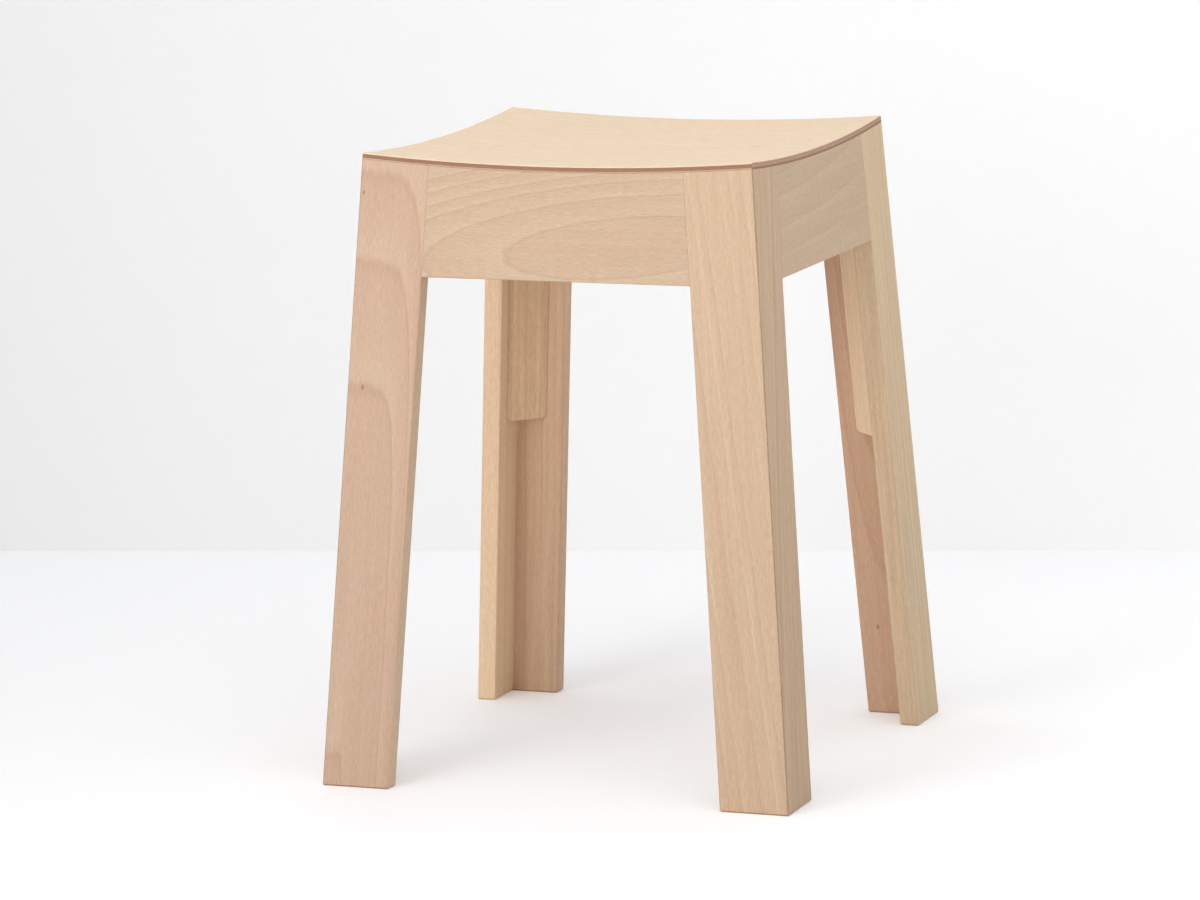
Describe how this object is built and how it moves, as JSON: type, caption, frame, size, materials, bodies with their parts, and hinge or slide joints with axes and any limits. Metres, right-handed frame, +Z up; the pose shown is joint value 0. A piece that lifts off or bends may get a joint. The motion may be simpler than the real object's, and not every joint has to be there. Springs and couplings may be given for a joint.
{
  "type": "stacking stool",
  "caption": "Square wooden stool with a dished plywood seat, aprons, and splayed angle-section legs whose inner blocks rest on the seat of a like stool below.",
  "frame": {"origin": "on the floor under the middle of the seat", "axes": "+X along the front to the right, +Y from the front to the back, +Z up"},
  "size_m": [0.3498, 0.3498, 0.4499],
  "materials": {
    "seat_veneer": "satin",
    "seat_core": "satin",
    "apron_board": "satin",
    "leg_board": "satin",
    "block": "satin",
    "tenon": "bare"
  },
  "bodies": {
    "root": {"seat_face_ply": "seat_veneer", "seat_core_ply": "seat_core", "seat_back_ply": "seat_veneer", "front_apron": "apron_board", "front_apron_tenons": "tenon", "right_apron": "apron_board", "right_apron_tenons": "tenon", "back_apron": "apron_board", "back_apron_tenons": "tenon", "left_apron": "apron_board", "left_apron_tenons": "tenon", "front_left_leg_front_board": "leg_board", "front_left_leg_side_board": "leg_board", "front_left_stacking_block": "block", "front_right_leg_front_board": "leg_board", "front_right_leg_side_board": "leg_board", "front_right_stacking_block": "block", "back_right_leg_back_board": "leg_board", "back_right_leg_side_board": "leg_board", "back_right_stacking_block": "block", "back_left_leg_back_board": "leg_board", "back_left_leg_side_board": "leg_board", "back_left_stacking_block": "block"}
  },
  "joints": []
}
